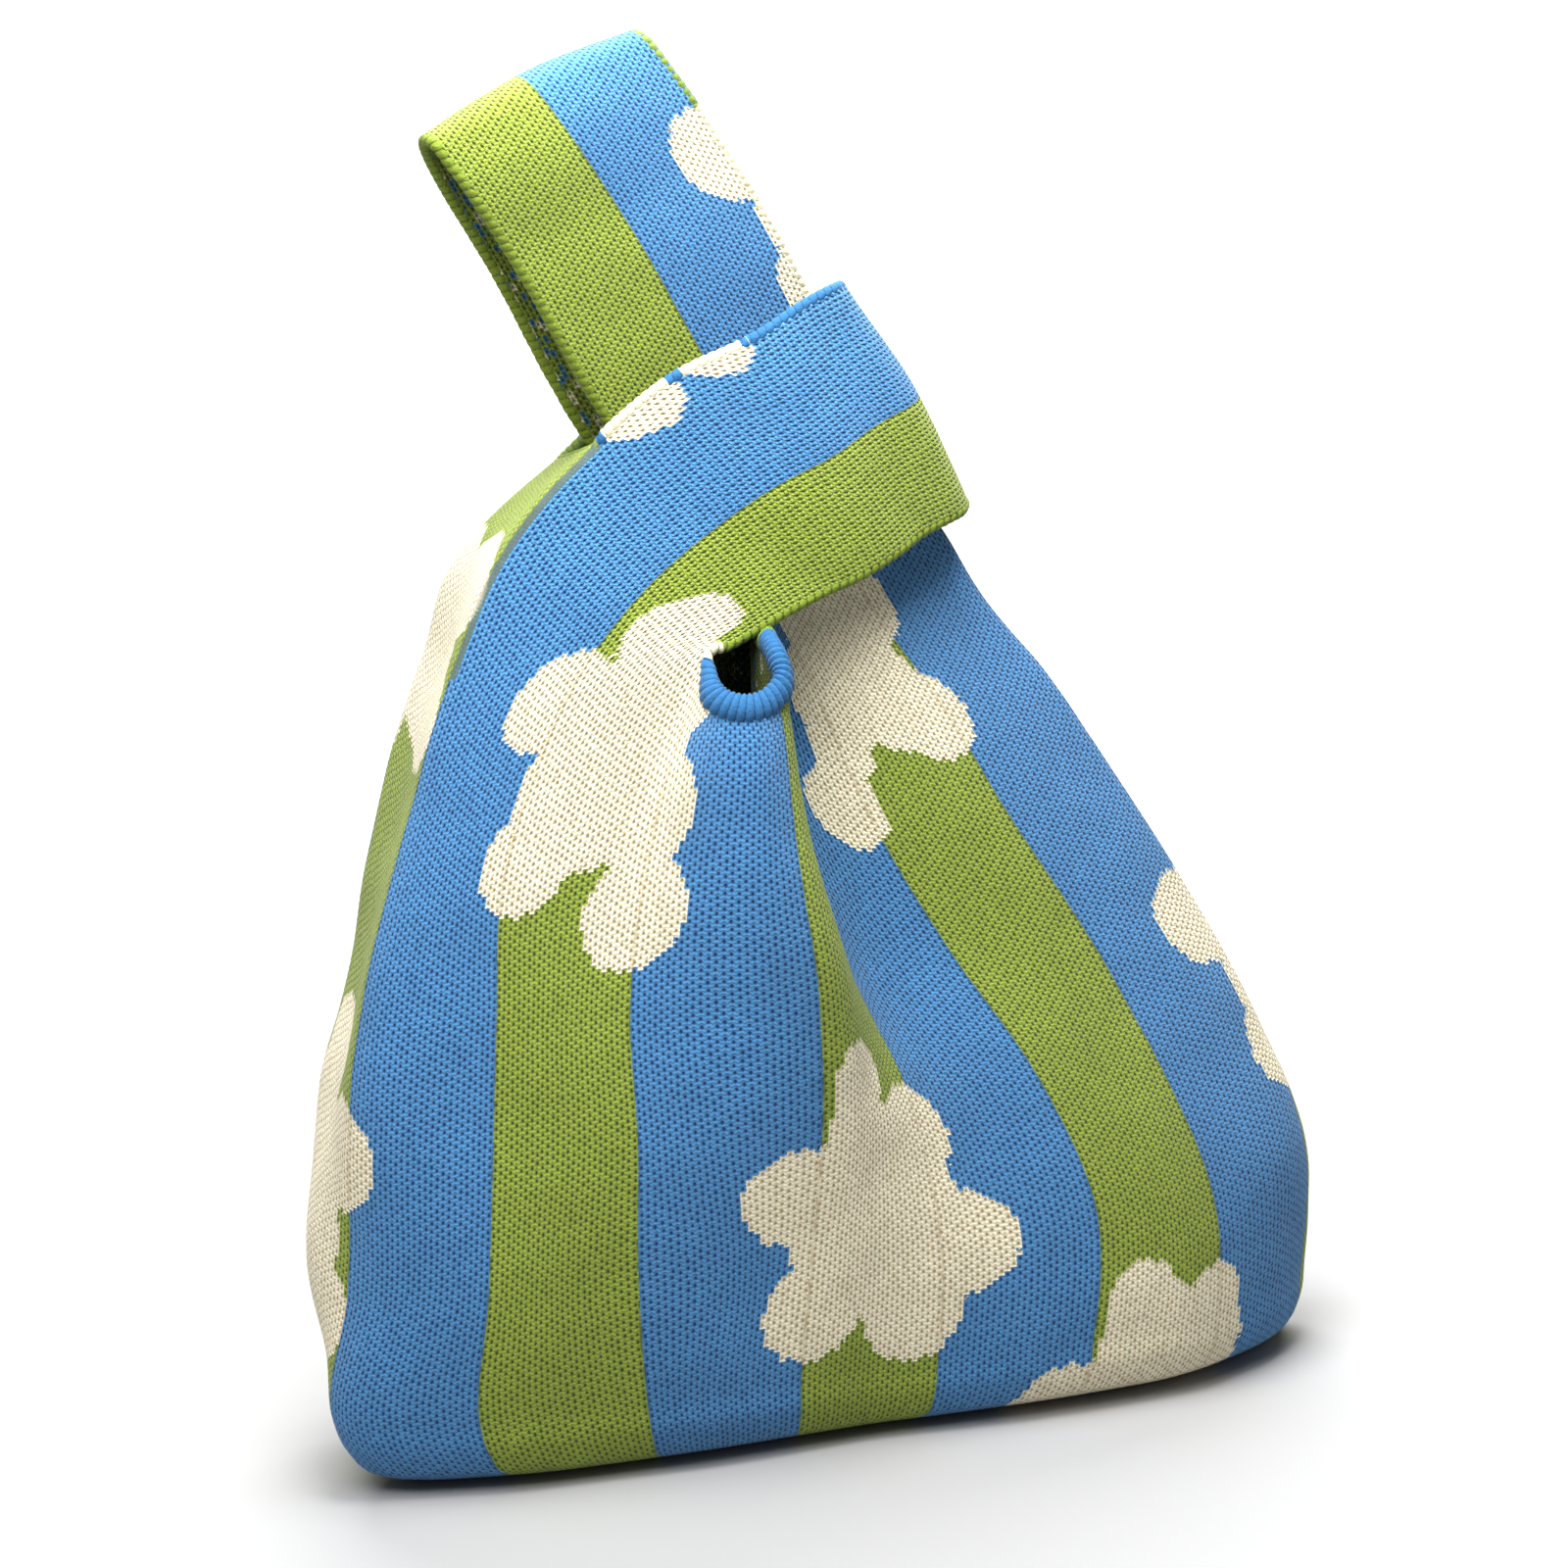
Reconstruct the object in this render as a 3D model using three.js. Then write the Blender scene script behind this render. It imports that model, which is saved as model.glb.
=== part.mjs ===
// A knot bag, knitted in one piece: a tube closed along its floor, whose mouth runs up into two straps.
// The short strap lies over to the right, and the long one passes through its loop and stands up.
// Millimetres, +Z up, the front towards -Y, the origin on the floor under the middle of the bag.
import * as THREE from "three";
import { mergeVertices } from "three/addons/utils/BufferGeometryUtils.js";

// Driving dimensions
const CLOTH = 2.4; // thickness of the knit
const STRIPES = 16; // stripes round the tube: 7 in front, 1 at each side, 7 behind
const COURSE_STEP = 9; // longest step of the mesh along a wale
const WALE_STEP = 0.4; // longest step of the mesh across, in stripes
const BACK_FLATNESS = 0.86; // depth of the back against the front, and of the part beyond the limit
const PLEAT_FLATNESS = 0.7;
const PLEAT_FROM = 30;
const STRAP_CAMBER = 2.5; // rise of a strap's middle above its edges
const FLOOR_EDGE = [
  // rounding of the lower edge: height, and the lowest level's size times these
  { height: 0, left: 0.82, right: 0.92, depth: 0.62 },
  { height: 3, left: 0.91, right: 0.965, depth: 0.84 },
  { height: 9, left: 0.965, right: 0.99, depth: 0.955 },
];
const SEAM_WIDTH = 0.97; // length of the floor seam against the floor
const LOWER_EDGE_LENGTH = 2; // how much longer the cloth runs round the lower edge than its height
const SAME_PLACE = 0.01; // corners nearer than this are one corner
const ROUNDING = 1e-6;

// Guide wales of the front, in stripes from the left crease. The back mirrors them.
const FRONT_WALES = [0, 1, 1.9, 2.4, 2.75, 3.1, 3.6, 4.2, 5.1, 6, 7];
const BACK_LAST = 15; // stripe count at the left crease of the back

// Levels of the body, floor to mouth, with the pleat that stands out between wales 2.4 and 3.6.
// left and right: how far each side stands out of its creases; tuck: how far the left crease of the
// back lies inside the front one; sharp: 0 where the section runs round smoothly, 1 where it is creased
// at the sides and the pleat; across and depth: place of each guide wale.
const LEVELS = [
  {
    height: 18,
    left: -2,
    right: 8,
    tuck: 17,
    sharp: 0,
    across: [-127.5, -98, -62, -43, -30, -16, 1, 22, 58, 89, 123],
    depth: [-17, -33, -37, -38, -38, -38, -38, -40, -42, -38, -17],
  },
  {
    height: 50,
    left: 6,
    right: 5,
    tuck: 7,
    sharp: 0,
    across: [-125, -97, -66.5, -42.5, -29, -15, 0.5, 21.5, 58.5, 87, 124],
    depth: [-20, -36, -40, -42, -42.5, -42, -41.5, -41.5, -42, -38, -17],
  },
  {
    height: 85,
    left: 1,
    right: 1,
    tuck: 9,
    sharp: 0.15,
    across: [-125, -95, -66, -47, -31, -14, -2, 12, 44.5, 73.5, 110.5],
    depth: [-22, -35, -41, -44, -47, -46, -43, -38, -37, -33, -14],
  },
  {
    height: 115,
    left: -1,
    right: -1,
    tuck: 13.5,
    sharp: 0.5,
    across: [-122, -93, -66, -48.5, -33, -17, -8, -3, 26, 58, 95.5],
    depth: [-21, -33, -38, -43, -50, -50, -41, -30, -30, -28, -12],
  },
  {
    height: 145,
    left: -2,
    right: -2,
    tuck: 9,
    sharp: 0.75,
    across: [-113, -90, -60, -47, -35, -22, -16, -14, 9, 39, 76.5],
    depth: [-19, -30, -34, -43, -51, -49, -37, -24, -25, -25, -11],
  },
  {
    height: 175,
    left: -2,
    right: -2,
    tuck: 7.5,
    sharp: 0.95,
    across: [-103, -78, -49, -43, -34, -25, -21, -20.5, -3, 22, 56],
    depth: [-17, -27, -31, -43, -48.5, -44, -31, -18, -18, -20, -10],
  },
];
// The mouth has its own height at each wale: lowest on the pleat, highest where the straps begin.
const MOUTH = {
  left: -2,
  right: -2,
  tuck: 6.5,
  across: [-97, -70, -40, -40.5, -34, -27, -25, -22.5, -14, 10, 43],
  depth: [-16, -26, -31, -40, -44, -43, -36.5, -21.5, -14, -16, -9],
  height: [190, 189, 192.5, 185.5, 184.5, 188, 194, 197, 197, 193, 191],
  knot: 193, // its mean height and the length round the lower edge
};

// Stations up each strap, from the mouth to its shoulder. outer is the armhole edge and inner the neck
// edge, as [across, height] in the front layer and in the back layer; front and back are the depths of
// those two edges.
const SHORT_STRAP = {
  wales: [0, 1, 1.9],
  armhole: 2, // station at which the armhole starts
  sideBulge: 0, // how far the side stands out there
  outer: [[-86, 214], [-75, 228], [-61, 241], [-43, 255], [-23, 263], [-11, 268.5]],
  inner: [[-31, 195], [-21, 199], [-10, 203], [0, 206], [10.5, 210], [18.5, 213]],
  backOuter: [[-84, 210], [-71, 222], [-57, 231], [-40, 241], [-24, 249.5], [-12.5, 254.5]],
  backInner: [[-31, 196], [-21, 200], [-10, 204], [0, 206], [10, 210], [18, 211]],
  front: [[-15, -30], [-15, -29], [-16, -28], [-19, -28], [-21, -26], [-19, -22]],
  back: [[12, 26], [12, 26], [14, 26], [18, 25], [19, 22], [15, 17]],
};
const LONG_STRAP = {
  wales: [7, 6, 5.1],
  armhole: 1,
  sideBulge: 3,
  outer: [[32, 208], [11, 240], [-4, 270], [-21, 299], [-40.5, 327.5]],
  inner: [[-23, 206], [-38, 220], [-54.5, 244], [-77, 283], [-92, 306]],
  backOuter: [[32, 208], [11, 239], [-5, 268], [-20, 297], [-40, 325.5]],
  backInner: [[-23, 203], [-38, 216], [-54.5, 239], [-74, 277], [-89, 301]],
  front: [[-7, -12], [-6, -9], [-6, -9], [-7, -9], [-6, -8]],
  back: [[5, 8], [4, 6], [4, 8], [7, 12], [5, 9]],
};
const SHOULDER_TURNS = [0.25, 0.5, 0.75]; // where the half turn over a shoulder is pinned

// A smooth curve through points that are pinned at the given knots.
function spline(knots, points) {
  const last = points.length - 1;
  const gap = (i) => knots[i + 1] - knots[i];
  const chord = (i) => points[i + 1].clone().sub(points[i]).divideScalar(gap(i));
  const slope = points.map(() => null);
  for (let i = 1; i < last; i += 1) {
    const blend = chord(i - 1).multiplyScalar(gap(i)).addScaledVector(chord(i), gap(i - 1));
    slope[i] = blend.divideScalar(gap(i) + gap(i - 1));
  }
  slope[0] = chord(0).multiplyScalar(1.5).addScaledVector(slope[1], -0.5);
  slope[last] = chord(last - 1).multiplyScalar(1.5).addScaledVector(slope[last - 1], -0.5);
  return (at) => {
    let i = 0;
    while (i < last - 1 && at > knots[i + 1]) i += 1;
    const s = (at - knots[i]) / gap(i);
    return new THREE.Vector3()
      .addScaledVector(points[i], 2 * s ** 3 - 3 * s ** 2 + 1)
      .addScaledVector(slope[i], (s ** 3 - 2 * s ** 2 + s) * gap(i))
      .addScaledVector(points[i + 1], 3 * s ** 2 - 2 * s ** 3)
      .addScaledVector(slope[i + 1], (s ** 3 - s ** 2) * gap(i));
  };
}

const middle = (a, b) => a.clone().add(b).multiplyScalar(0.5);

// Guide wales all round: front, right side, back, left side
const FRONT_COUNT = FRONT_WALES.length;
const GUIDES = [
  ...FRONT_WALES,
  BACK_LAST / 2,
  ...FRONT_WALES.map((wale) => BACK_LAST - wale).reverse(),
  (BACK_LAST + STRIPES) / 2,
];
const RIGHT_SIDE = FRONT_COUNT;
const LEFT_SIDE = 2 * FRONT_COUNT + 1;
const mirrorOf = (guide) => 2 * FRONT_COUNT - guide; // guide of the back behind a guide of the front
const CREASES = [0, 2, 8, 10, 12, 14, 20, 22, 24]; // guides where the section may be creased

// Depth of the back behind a point of the front.
function depthBehind(y) {
  return BACK_FLATNESS * Math.min(-y, PLEAT_FROM) + PLEAT_FLATNESS * Math.max(-y - PLEAT_FROM, 0);
}

// The closed section at one level: guide points of the front, a side, the back, the other side.
function ring({ across, depth, left, right, tuck }, heightOf) {
  const front = across.map((x, i) => new THREE.Vector3(x, depth[i], heightOf(i)));
  const back = front.map((p) => new THREE.Vector3(p.x, depthBehind(p.y), p.z));
  back[0].x += tuck;
  const rightSide = middle(front.at(-1), back.at(-1));
  const leftSide = middle(front[0], back[0]);
  rightSide.x += right;
  leftSide.x -= left;
  return [...front, rightSide, ...back.reverse(), leftSide];
}

const flat = (level) => ring(level, () => level.height);

// The body's rings from the floor to the mouth, each with its knot and its sharpness.
const lowest = flat(LEVELS[0]);
const BODY = [
  ...FLOOR_EDGE.map(({ height, left, right, depth }) => ({
    knot: height,
    sharp: 0,
    points: lowest.map((p) => new THREE.Vector3(p.x * (p.x < 0 ? left : right), p.y * depth, height)),
  })),
  ...LEVELS.map((level) => ({
    knot: level.height + LOWER_EDGE_LENGTH,
    sharp: level.sharp,
    points: flat(level),
  })),
  { knot: MOUTH.knot, sharp: 1, points: ring(MOUTH, (i) => MOUTH.height[i]) },
];

// One layer of a strap: the outer edge, middle wale and inner edge at each of its stations.
function layer(strap, outerEdge, innerEdge, depths) {
  const share = (strap.wales[0] - strap.wales[1]) / (strap.wales[0] - strap.wales[2]);
  return depths.map(([outerY, innerY], i) => {
    const outer = new THREE.Vector3(outerEdge[i][0], outerY, outerEdge[i][1]);
    const inner = new THREE.Vector3(innerEdge[i][0], innerY, innerEdge[i][1]);
    const centre = outer.clone().lerp(inner, share);
    centre.y += Math.sign(outerY + innerY) * STRAP_CAMBER;
    return [outer, centre, inner];
  });
}

// The three guide wales of a strap, each as one curve: up the front of the body, up the front layer,
// over the shoulder, down the back layer and down the back of the body.
function strapPath(strap) {
  const guides = strap.wales.map((wale) => GUIDES.indexOf(wale));
  const fronts = layer(strap, strap.outer, strap.inner, strap.front);
  const backs = layer(strap, strap.backOuter, strap.backInner, strap.back);
  const climb = [];
  let below = guides.map((guide) => BODY.at(-1).points[guide]);
  let knot = MOUTH.knot;
  for (const points of fronts) {
    knot += points.reduce((sum, p, i) => sum + p.distanceTo(below[i]), 0) / points.length;
    climb.push(knot);
    below = points;
  }
  const [frontEnd, backEnd] = [fronts.at(-1), backs.at(-1)];
  const apart = frontEnd.reduce((sum, p, i) => sum + p.distanceTo(backEnd[i]), 0) / frontEnd.length;
  const turn = (Math.PI * apart) / 2;
  const total = 2 * climb.at(-1) + turn;
  const curves = guides.map((guide, i) => {
    const centre = middle(frontEnd[i], backEnd[i]);
    const onward = centre.clone().sub(middle(fronts.at(-2)[i], backs.at(-2)[i])).normalize();
    const half = backEnd[i].clone().sub(frontEnd[i]).multiplyScalar(0.5);
    const over = SHOULDER_TURNS.map((t) =>
      centre
        .clone()
        .addScaledVector(onward, half.length() * Math.sin(Math.PI * t))
        .addScaledVector(half, -Math.cos(Math.PI * t)),
    );
    const behind = mirrorOf(guide);
    const front = [...BODY.map((row) => row.points[guide]), ...fronts.map((points) => points[i])];
    const back = [...BODY.map((row) => row.points[behind]), ...backs.map((points) => points[i])];
    const rise = [...BODY.map((row) => row.knot), ...climb];
    const knots = [
      ...rise,
      ...SHOULDER_TURNS.map((t) => climb.at(-1) + turn * t),
      ...rise.map((k) => total - k).reverse(),
    ];
    return { knots, at: spline(knots, [...front, ...over, ...back.reverse()]) };
  });
  return { guides, climb, total, curves, armholeKnot: climb[strap.armhole], sideBulge: strap.sideBulge };
}

// Values from the first to the last of a list, each step split so that none is longer than the step.
function divided(values, step) {
  const out = [values[0]];
  for (let i = 1; i < values.length; i += 1) {
    const span = values[i] - values[i - 1];
    const parts = Math.max(1, Math.ceil(span / step - ROUNDING));
    for (let k = 1; k <= parts; k += 1) out.push(values[i - 1] + (span * k) / parts);
  }
  return out;
}

// Points across one panel of the section, between two creases, from its guide points alone.
function panelRow(panel, pointOf) {
  const guides = [];
  for (let g = CREASES[panel]; g <= CREASES[panel + 1]; g += 1) guides.push(g);
  const knots = guides.map((g) => (g === GUIDES.length ? STRIPES : GUIDES[g]));
  const curve = spline(knots, guides.map((g) => pointOf(g % GUIDES.length)));
  return divided(knots, WALE_STEP).map(curve);
}

// A whole ring of the body: panels creased at their edges, eased into one smooth curve lower down.
function ringRow(points, sharp) {
  const wrap = 3;
  const around = [...points.slice(-wrap), ...points, ...points.slice(0, wrap)];
  const knots = [
    ...GUIDES.slice(-wrap).map((g) => g - STRIPES),
    ...GUIDES,
    ...GUIDES.slice(0, wrap).map((g) => g + STRIPES),
  ];
  const smooth = spline(knots, around);
  const row = [];
  for (let panel = 0; panel < CREASES.length - 1; panel += 1) {
    row.push(...panelRow(panel, (g) => points[g]).slice(0, -1));
  }
  const wales = divided([...GUIDES, STRIPES], WALE_STEP).slice(0, -1);
  return row.map((p, i) => p.lerp(smooth(wales[i]), 1 - sharp));
}

// The outer face of the cloth, gathered as triangles
const corners = [];

function face(a, b, c) {
  const shortest = Math.min(a.distanceTo(b), b.distanceTo(c), c.distanceTo(a));
  if (shortest < SAME_PLACE) return;
  for (const p of [a, b, c]) corners.push(p.x, p.y, p.z);
}

function quads(rows, closed = false) {
  for (let i = 0; i + 1 < rows.length; i += 1) {
    const count = rows[i].length;
    for (let j = 0; j < (closed ? count : count - 1); j += 1) {
      const k = (j + 1) % count;
      face(rows[i][j], rows[i][k], rows[i + 1][k]);
      face(rows[i][j], rows[i + 1][k], rows[i + 1][j]);
    }
  }
}

const straps = [SHORT_STRAP, LONG_STRAP].map(strapPath);

// The tube from the floor to the mouth
const bodyKnots = BODY.map((row) => row.knot);
const guideCurves = GUIDES.map((_, g) => spline(bodyKnots, BODY.map((row) => row.points[g])));
for (const strap of straps) {
  strap.guides.forEach((g, i) => {
    guideCurves[g] = strap.curves[i].at;
    guideCurves[mirrorOf(g)] = (knot) => strap.curves[i].at(strap.total - knot);
  });
}
const sharpAt = (knot) => {
  const above = Math.max(1, BODY.findIndex((row) => row.knot >= knot - ROUNDING));
  const [low, high] = [BODY[above - 1], BODY[above]];
  return THREE.MathUtils.mapLinear(knot, low.knot, high.knot, low.sharp, high.sharp);
};
const wall = divided(bodyKnots, COURSE_STEP).map((knot) =>
  ringRow(guideCurves.map((curve) => curve(knot)), sharpAt(knot)),
);
quads(wall, true);

// The floor: front and back meet along one straight seam, as wide as the narrower of them
const floorRow = wall[0];
const rightmost = divided([...GUIDES, STRIPES], WALE_STEP).indexOf(GUIDES[RIGHT_SIDE]);
const seamRow = floorRow.map((p, j) => {
  const opposite = floorRow[(2 * rightmost - j + floorRow.length) % floorRow.length];
  const nearer = Math.abs(p.x) < Math.abs(opposite.x) ? p : opposite;
  return new THREE.Vector3(nearer.x * SEAM_WIDTH, 0, 0);
});
quads([seamRow, floorRow.map((p, j) => middle(p, seamRow[j])), floorRow], true);

// The straps: both layers and the side between them up to the armhole, then the loop over the shoulder
function rootRow(strap, side, panels, knot) {
  const crease = strap.guides[0];
  const share = (knot - MOUTH.knot) / (strap.armholeKnot - MOUTH.knot);
  const mouth = BODY.at(-1).points;
  const bow = mouth[side].clone().sub(middle(mouth[crease], mouth[mirrorOf(crease)]));
  bow.lerp(new THREE.Vector3(side === RIGHT_SIDE ? strap.sideBulge : -strap.sideBulge, 0, 0), share);
  const centre = middle(guideCurves[crease](knot), guideCurves[mirrorOf(crease)](knot)).add(bow);
  const pointOf = (g) => (g === side ? centre : guideCurves[g](knot));
  return panels.flatMap((panel, i) => panelRow(panel, pointOf).slice(i === 0 ? 0 : 1));
}

function loopRow(strap, knot) {
  const wales = strap.guides.map((g) => GUIDES[g]);
  const points = strap.curves.map((curve) => curve.at(knot));
  if (wales[0] > wales[2]) {
    wales.reverse();
    points.reverse();
  }
  return divided(wales, WALE_STEP).map(spline(wales, points));
}

const ROOTS = [
  { strap: straps[0], side: LEFT_SIDE, panels: [6, 7, 0] },
  { strap: straps[1], side: RIGHT_SIDE, panels: [2, 3, 4] },
];
for (const { strap, side, panels } of ROOTS) {
  const climb = [MOUTH.knot, ...strap.climb.filter((knot) => knot <= strap.armholeKnot)];
  quads(divided(climb, COURSE_STEP).map((knot) => rootRow(strap, side, panels, knot)));
  const first = strap.armholeKnot - ROUNDING;
  const last = strap.total - strap.armholeKnot + ROUNDING;
  const beyond = strap.curves[0].knots.filter((knot) => knot >= first && knot <= last);
  quads(divided(beyond, COURSE_STEP).map((knot) => loopRow(strap, knot)));
}

// The cloth's own thickness: an inner face behind the outer one, and a strip round every free edge.
function thickened(outerCorners, thickness) {
  const soup = new THREE.BufferGeometry();
  soup.setAttribute("position", new THREE.Float32BufferAttribute(outerCorners, 3));
  const outer = mergeVertices(soup, SAME_PLACE / 10);
  outer.computeVertexNormals();
  const { position, normal } = outer.attributes;
  const count = position.count;
  const places = [...position.array];
  for (let i = 0; i < count; i += 1) {
    const p = new THREE.Vector3().fromBufferAttribute(position, i);
    const n = new THREE.Vector3().fromBufferAttribute(normal, i);
    places.push(...p.addScaledVector(n, -thickness).toArray());
  }
  const outerFaces = [...outer.index.array];
  const edges = new Set();
  const faces = [...outerFaces];
  for (let i = 0; i < outerFaces.length; i += 3) {
    const [a, b, c] = outerFaces.slice(i, i + 3);
    faces.push(a + count, c + count, b + count);
    for (const edge of [[a, b], [b, c], [c, a]]) edges.add(edge.join());
  }
  for (const edge of edges) {
    const [a, b] = edge.split(",").map(Number);
    if (edges.has(`${b},${a}`)) continue;
    faces.push(b, a, a + count, b, a + count, b + count);
  }
  const solid = new THREE.BufferGeometry();
  solid.setAttribute("position", new THREE.Float32BufferAttribute(places, 3));
  solid.setIndex(faces);
  solid.computeVertexNormals();
  return solid;
}

const knit = new THREE.MeshStandardMaterial({ color: 0x4a8fd0, roughness: 0.95, metalness: 0 });
const cloth = new THREE.Mesh(thickened(corners, CLOTH), knit);
cloth.name = "knitted_bag";

// The origin lies on the floor, under the middle of the bag's box.
cloth.geometry.computeBoundingBox();
const centre = cloth.geometry.boundingBox.getCenter(new THREE.Vector3());
cloth.geometry.translate(-centre.x, -centre.y, 0);

const bag = new THREE.Group();
bag.add(cloth);

export default bag;
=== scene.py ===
import math

import bpy
import numpy as np
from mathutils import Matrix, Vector, noise


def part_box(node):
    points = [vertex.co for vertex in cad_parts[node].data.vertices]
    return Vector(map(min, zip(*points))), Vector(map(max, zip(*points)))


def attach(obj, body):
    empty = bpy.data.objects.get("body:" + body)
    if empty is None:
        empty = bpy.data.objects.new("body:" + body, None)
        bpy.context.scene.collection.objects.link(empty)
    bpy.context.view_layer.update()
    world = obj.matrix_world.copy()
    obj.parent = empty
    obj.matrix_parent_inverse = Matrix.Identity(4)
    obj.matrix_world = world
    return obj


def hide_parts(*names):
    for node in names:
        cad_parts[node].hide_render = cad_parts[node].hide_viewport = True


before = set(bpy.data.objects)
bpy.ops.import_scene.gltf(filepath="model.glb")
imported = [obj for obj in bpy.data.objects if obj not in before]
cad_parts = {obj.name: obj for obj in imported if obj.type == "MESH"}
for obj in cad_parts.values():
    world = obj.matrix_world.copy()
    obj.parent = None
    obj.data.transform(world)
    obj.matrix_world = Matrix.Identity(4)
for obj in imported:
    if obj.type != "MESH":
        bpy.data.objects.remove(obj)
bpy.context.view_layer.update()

bl_info = {
    "name": "Knitted knot bag",
    "version": (1, 0, 0),
    "blender": (4, 5, 0),
    "location": "3D Viewport > Sidebar > Knot bag",
    "description": "Knits the cloth, the rolled edges and the stage of a knot bag",
    "category": "Object",
}

# The bag's sizes are in millimetres and turned to metres where a mesh is made.
MM = 0.001
NODE = "knitted_bag"

# Knitting: 16 stripes of 27 wales round the tube, counted from the front's left crease.
STRIPES = 16
STRIPE_WIDTH = 38.4
WALES = 27  # in a stripe
COURSE = 1.9  # height of a stitch
EDGE_STITCH = 2.2  # length of a loop in the rolled edge of a strap
WALE = STRIPE_WIDTH / WALES

# Mesh steps
ROW_STEP = 2.0
COLUMN_STEP = 1 / 16  # in stripes
FLOOR_ROWS = 18
ROUNDING_PASSES = 3  # how often the creases are eased
RIM_STEPS = 6  # rings of a rolled edge in one step of the cloth's edge
RIM_SIDES = 12
RIM_WALE = 1.55  # width of a wale where the mouth's edge rolls over
PLEAT_EDGE = (1.9, 3.9)  # wales of the pleat's rolled edge, all knitted in blue

# Body, level by level from the floor: place and depth of each guide wale of the front. left and
# right are how far the sides stand out of their creases, tuck how far the back's left crease lies
# inside the front's, and sharp how far the section is creased.
FRONT_WALES = (0, 1, 1.9, 2.4, 2.75, 3.1, 3.6, 4.2, 5.1, 6, 7)
BACK_LAST = 15
LEVELS = (
    dict(
        height=18, left=-2, right=8, tuck=17, sharp=0,
        across=(-127.5, -98, -62, -43, -30, -16, 1, 22, 58, 89, 123),
        depth=(-17, -33, -37, -38, -38, -38, -38, -40, -42, -38, -17),
    ),
    dict(
        height=50, left=6, right=5, tuck=7, sharp=0,
        across=(-125, -97, -66.5, -42.5, -29, -15, 0.5, 21.5, 58.5, 87, 124),
        depth=(-20, -36, -40, -42, -42.5, -42, -41.5, -41.5, -42, -38, -17),
    ),
    dict(
        height=85, left=1, right=1, tuck=9, sharp=0.15,
        across=(-125, -95, -66, -47, -31, -14, -2, 12, 44.5, 73.5, 110.5),
        depth=(-22, -35, -41, -44, -47, -46, -43, -38, -37, -33, -14),
    ),
    dict(
        height=115, left=-1, right=-1, tuck=13.5, sharp=0.5,
        across=(-122, -93, -66, -48.5, -33, -17, -8, -3, 26, 58, 95.5),
        depth=(-21, -33, -38, -43, -50, -50, -41, -30, -30, -28, -12),
    ),
    dict(
        height=145, left=-2, right=-2, tuck=9, sharp=0.75,
        across=(-113, -90, -60, -47, -35, -22, -16, -14, 9, 39, 76.5),
        depth=(-19, -30, -34, -43, -51, -49, -37, -24, -25, -25, -11),
    ),
    dict(
        height=175, left=-2, right=-2, tuck=7.5, sharp=0.95,
        across=(-103, -78, -49, -43, -34, -25, -21, -20.5, -3, 22, 56),
        depth=(-17, -27, -31, -43, -48.5, -44, -31, -18, -18, -20, -10),
    ),
)
MOUTH = dict(
    left=-2, right=-2, tuck=6.5, knot=193,
    across=(-97, -70, -40, -40.5, -34, -27, -25, -22.5, -14, 10, 43),
    depth=(-16, -26, -31, -40, -44, -43, -36.5, -21.5, -14, -16, -9),
    height=(190, 189, 192.5, 185.5, 184.5, 188, 194, 197, 197, 193, 191),
)
LOWER_EDGE = (  # height, then the lowest level's size times these: left, right, depth
    (0, 0.82, 0.92, 0.62),
    (3, 0.91, 0.965, 0.84),
    (9, 0.965, 0.99, 0.955),
)
LOWER_EDGE_LENGTH = 2  # how much longer the cloth is than it is high, round that edge
SEAM_WIDTH = 0.97  # of the floor's seam, against the floor
PLEAT_FROM = 30  # depth at which a pleat stands out of the front
BACK_FLATNESS = 0.86  # depth of the back against the front
PLEAT_FLATNESS = 0.7  # and of the back's pleat against the front's

# Straps, station by station from the mouth: armhole edge and neck edge of both layers as
# (across, height), then the depths of those two edges in front and behind.
SHORT_STRAP = dict(
    wales=(0, 1, 1.9), armhole=2, side_bulge=0,
    outer=((-86, 214), (-75, 228), (-61, 241), (-43, 255), (-23, 263), (-11, 268.5)),
    inner=((-31, 195), (-21, 199), (-10, 203), (0, 206), (10.5, 210), (18.5, 213)),
    back_outer=((-84, 210), (-71, 222), (-57, 231), (-40, 241), (-24, 249.5), (-12.5, 254.5)),
    back_inner=((-31, 196), (-21, 200), (-10, 204), (0, 206), (10, 210), (18, 211)),
    front=((-15, -30), (-15, -29), (-16, -28), (-19, -28), (-21, -26), (-19, -22)),
    back=((12, 26), (12, 26), (14, 26), (18, 25), (19, 22), (15, 17)),
)
LONG_STRAP = dict(
    wales=(7, 6, 5.1), armhole=1, side_bulge=3,
    outer=((32, 208), (11, 240), (-4, 270), (-21, 299), (-40.5, 327.5)),
    inner=((-23, 206), (-38, 220), (-54.5, 244), (-77, 283), (-92, 306)),
    back_outer=((32, 208), (11, 239), (-5, 268), (-20, 297), (-40, 325.5)),
    back_inner=((-23, 203), (-38, 216), (-54.5, 239), (-74, 277), (-89, 301)),
    front=((-7, -12), (-6, -9), (-6, -9), (-7, -9), (-6, -8)),
    back=((5, 8), (4, 6), (4, 8), (7, 12), (5, 9)),
)
STRAP_CAMBER = 2.5  # how far a strap's middle stands out of its edges
SHOULDER_TURNS = np.array((0.25, 0.5, 0.75))  # places over the top of a strap

# Guide wales all round, and the ones where the section may be creased
COUNT = len(FRONT_WALES)
GUIDES = (
    *FRONT_WALES,
    BACK_LAST / 2,
    *[BACK_LAST - wale for wale in reversed(FRONT_WALES)],
    (BACK_LAST + STRIPES) / 2,
)
RIGHT_SIDE = COUNT
LEFT_SIDE = 2 * COUNT + 1
CREASES = (0, 2, 8, 10, 12, 14, 20, 22, 24)
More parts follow.
